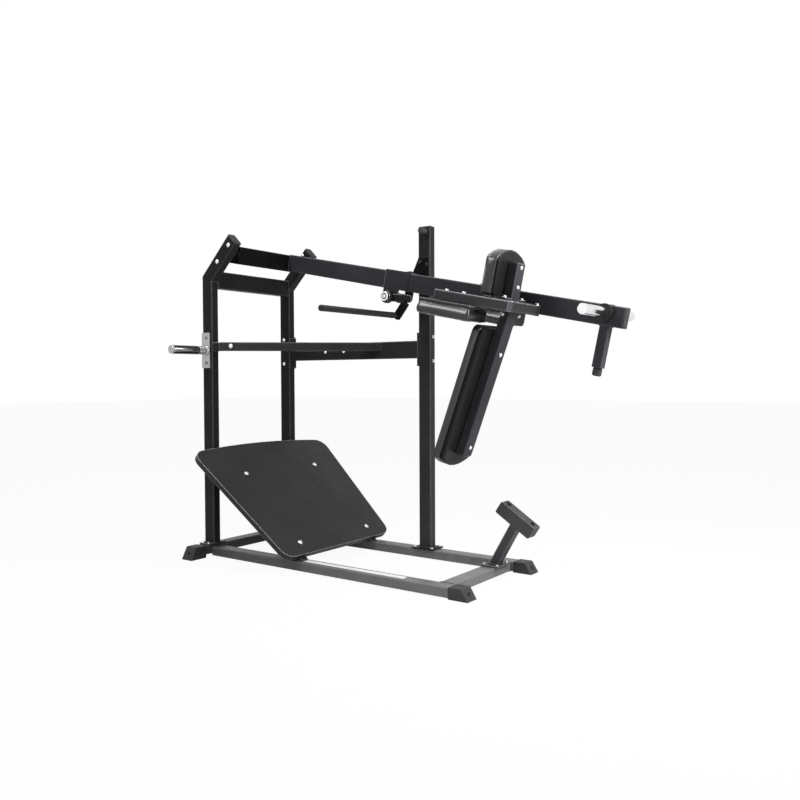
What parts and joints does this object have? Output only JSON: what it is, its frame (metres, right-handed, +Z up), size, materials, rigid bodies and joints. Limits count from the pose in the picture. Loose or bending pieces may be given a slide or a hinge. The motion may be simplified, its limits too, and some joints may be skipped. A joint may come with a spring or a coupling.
{
  "type": "pendulum squat machine",
  "caption": "Plate-loaded squat machine: an arm with shoulder, head and back pads swings from two bent posts over a sloped foot plate, with a hand lever that frees it from its catch.",
  "frame": {"origin": "on the floor, under the middle of the machine's bounding box", "axes": "+X from the pivot posts to the weight horns, +Y from the near side to the tower's side, +Z up"},
  "size_m": [2.3496, 1.2086, 1.878],
  "materials": {
    "powder_coat": "satin",
    "deck": "matt",
    "chrome": "polished",
    "steel": "satin",
    "rubber": "matt",
    "vinyl": "satin",
    "board": "satin, painted black"
  },
  "bodies": {
    "frame": {"front_cross_tube": "powder_coat", "near_side_rail": "powder_coat", "far_side_rail": "powder_coat", "rear_cross_tube": "powder_coat", "pivot_post_near": "powder_coat", "pivot_post_far": "powder_coat", "post_base_near": "powder_coat", "post_base_far": "powder_coat", "head_beam": "powder_coat", "stop_tower": "powder_coat", "tower_base": "powder_coat", "tie_bar": "powder_coat", "tie_flange_post": "powder_coat", "tie_flange_tower": "powder_coat", "catch_plate": "powder_coat", "brace_lug": "powder_coat", "diagonal_brace": "powder_coat", "foot_plate_support_near": "powder_coat", "foot_plate_support_far": "powder_coat", "stop_post": "powder_coat", "stop_flange": "powder_coat", "foot_front_near": "rubber", "foot_front_far": "rubber", "foot_rear_near": "rubber", "foot_rear_far": "rubber", "top_buffer": "rubber", "stop_block": "rubber", "bearing_near": "steel", "bearing_far": "steel", "catch_pin": "steel", "storage_horn_near": "chrome", "storage_horn_far": "chrome", "foot_plate": "deck"},
    "arm": {"pivot_tube": "powder_coat", "main_arm": "powder_coat", "shoulder_cross_tube": "powder_coat", "near_shoulder_beam": "powder_coat", "bumper_tube": "powder_coat", "head_pad_tube": "powder_coat", "back_pad_tube": "powder_coat", "pad_lug": "powder_coat", "lever_bracket": "powder_coat", "pivot_stub_near": "steel", "pivot_stub_far": "steel", "horn_collar_near": "rubber", "horn_collar_far": "rubber", "bumper_foot": "rubber", "weight_horn_near": "chrome", "weight_horn_far": "chrome", "pad_board_near": "board", "pad_board_far": "board", "shoulder_pad_near": "vinyl", "shoulder_pad_far": "vinyl", "head_pad": "vinyl", "back_pad": "vinyl"},
    "lever": {"lever_shaft": "steel", "lever_plate": "powder_coat", "lever_tube": "powder_coat", "catch_hook": "powder_coat", "lever_handle": "rubber"}
  },
  "joints": [
    {"name": "arm_swing", "type": "hinge", "parent": "frame", "child": "arm", "pos_m": [-0.99581, 0, 1.742], "axis": [0, 1, 0], "range_deg": [-13.9, 21.7]},
    {"name": "release_handle", "type": "hinge", "parent": "arm", "child": "lever", "pos_m": [-0.1786, 0.174, 1.48146], "axis": [0, 1, 0], "range_deg": [-25, 12]}
  ]
}
